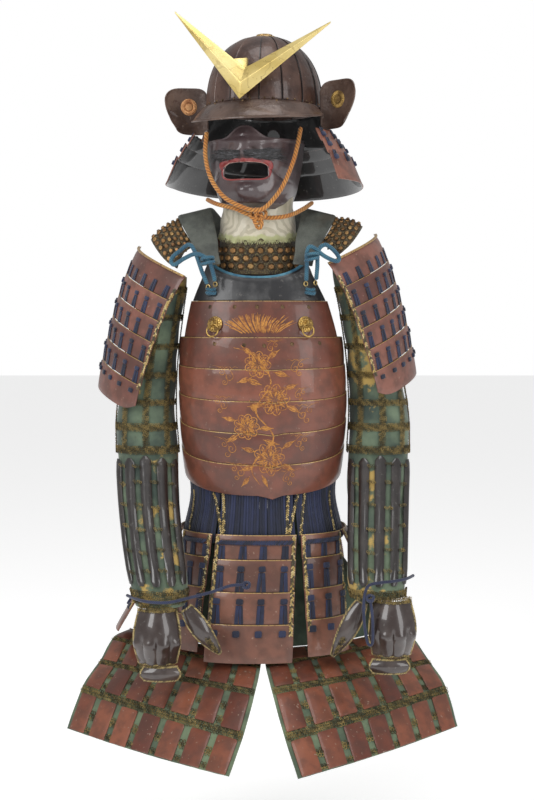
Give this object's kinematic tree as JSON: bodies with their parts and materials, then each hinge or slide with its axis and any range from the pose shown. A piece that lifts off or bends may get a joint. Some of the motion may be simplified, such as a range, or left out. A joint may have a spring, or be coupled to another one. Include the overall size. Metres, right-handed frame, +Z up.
{
  "type": "samurai armour",
  "caption": "Full set of laced plate armour, worn and hollow: ribbed helmet with horned crest, half mask, cuirass, shoulder guards, armoured sleeves, tassets and thigh guards",
  "frame": {"origin": "the middle of the neck opening, level with the tops of the shoulder straps, where the wearer's shoulders carry it", "axes": "+Z up, the front towards -Y, the wearer's right towards -X"},
  "size_m": [0.746, 0.6102, 1.3788],
  "materials": {
    "russet_iron": "dark red-brown russet iron, smooth, worn to rust in patches",
    "russet_lacquer": "red-brown lacquer, satin, chipped at the edges",
    "black_lacquer": "near-black lacquer, satin",
    "gilt": "gilt, aged",
    "mask_lacquer": "dark brown-black lacquered iron, glossy",
    "red_lips": "red lacquer, satin",
    "grey_leather": "grey-olive smoked leather, matt",
    "sewn_plates": "small hexagon plates sewn under brown leather, gilt studs",
    "brocade": "pale silver and cream silk, worn and frayed",
    "orange_cord": "twisted orange silk cord",
    "blue_silk": "blue silk cord and blue leather",
    "navy_silk": "dark navy braided silk",
    "green_silk": "faded green silk with worn places, mail and plates"
  },
  "bodies": {
    "armour": {"back_board": "russet_lacquer", "back_plate": "russet_lacquer", "breast_board": "black_lacquer", "brim": "russet_iron", "chest_plate": "russet_lacquer", "chest_upper_lame": "russet_lacquer", "chin_cord": "orange_cord", "crest_tongue": "russet_iron", "crown_ring": "gilt", "finger_plate_left": "mask_lacquer", "finger_plate_right": "mask_lacquer", "forearm_sleeve_left": "green_silk", "forearm_sleeve_right": "green_silk", "forearm_splints_left": "mask_lacquer", "forearm_splints_right": "mask_lacquer", "hand_plate_left": "mask_lacquer", "hand_plate_right": "mask_lacquer", "helmet_bowl": "russet_iron", "helmet_ear_left": "russet_iron", "helmet_ear_right": "russet_iron", "mask": "mask_lacquer", "mask_lips": "red_lips", "neck_cord": "orange_cord", "neck_guard_1": "russet_lacquer", "neck_guard_2": "russet_lacquer", "neck_guard_3": "russet_lacquer", "neck_guard_4": "russet_lacquer", "neck_lining": "blue_silk", "rosette_left": "gilt", "rosette_right": "gilt", "shoulder_cord_left": "blue_silk", "shoulder_cord_right": "blue_silk", "shoulder_guard_left": "russet_lacquer", "shoulder_guard_right": "russet_lacquer", "shoulder_strap_left": "grey_leather", "shoulder_strap_right": "grey_leather", "shoulder_wing_left": "sewn_plates", "shoulder_wing_right": "sewn_plates", "sleeve_left": "green_silk", "sleeve_right": "green_silk", "tasset_back_left": "russet_lacquer", "tasset_back_right": "russet_lacquer", "tasset_front": "russet_lacquer", "tasset_front_left": "russet_lacquer", "tasset_front_right": "russet_lacquer", "tasset_side_left": "russet_lacquer", "tasset_side_right": "russet_lacquer", "thigh_apron": "green_silk", "thigh_panel_left": "green_silk", "thigh_panel_right": "green_silk", "throat_cover": "brocade", "throat_guard": "sewn_plates", "thumb_plate_left": "mask_lacquer", "thumb_plate_right": "mask_lacquer", "waist_lacing": "navy_silk", "wrist_cord_left": "navy_silk", "wrist_cord_right": "navy_silk"},
    "crest": {"front_crest": "gilt"},
    "ring_right": {"breast_ring_right": "gilt"},
    "ring_left": {"breast_ring_left": "gilt"}
  },
  "joints": [
    {"name": "crest_slide", "type": "slide", "parent": "armour", "child": "crest", "axis": [0, 0, 1], "range_m": [0, 0.06]},
    {"name": "ring_right_swing", "type": "hinge", "parent": "armour", "child": "ring_right", "pos_m": [-0.09533, -0.11203, -0.21793], "axis": [-0.9135, 0.4067, 0], "range_deg": [0, 100]},
    {"name": "ring_left_swing", "type": "hinge", "parent": "armour", "child": "ring_left", "pos_m": [0.08542, -0.11203, -0.21793], "axis": [-0.9135, -0.4067, 0], "range_deg": [0, 100]}
  ]
}
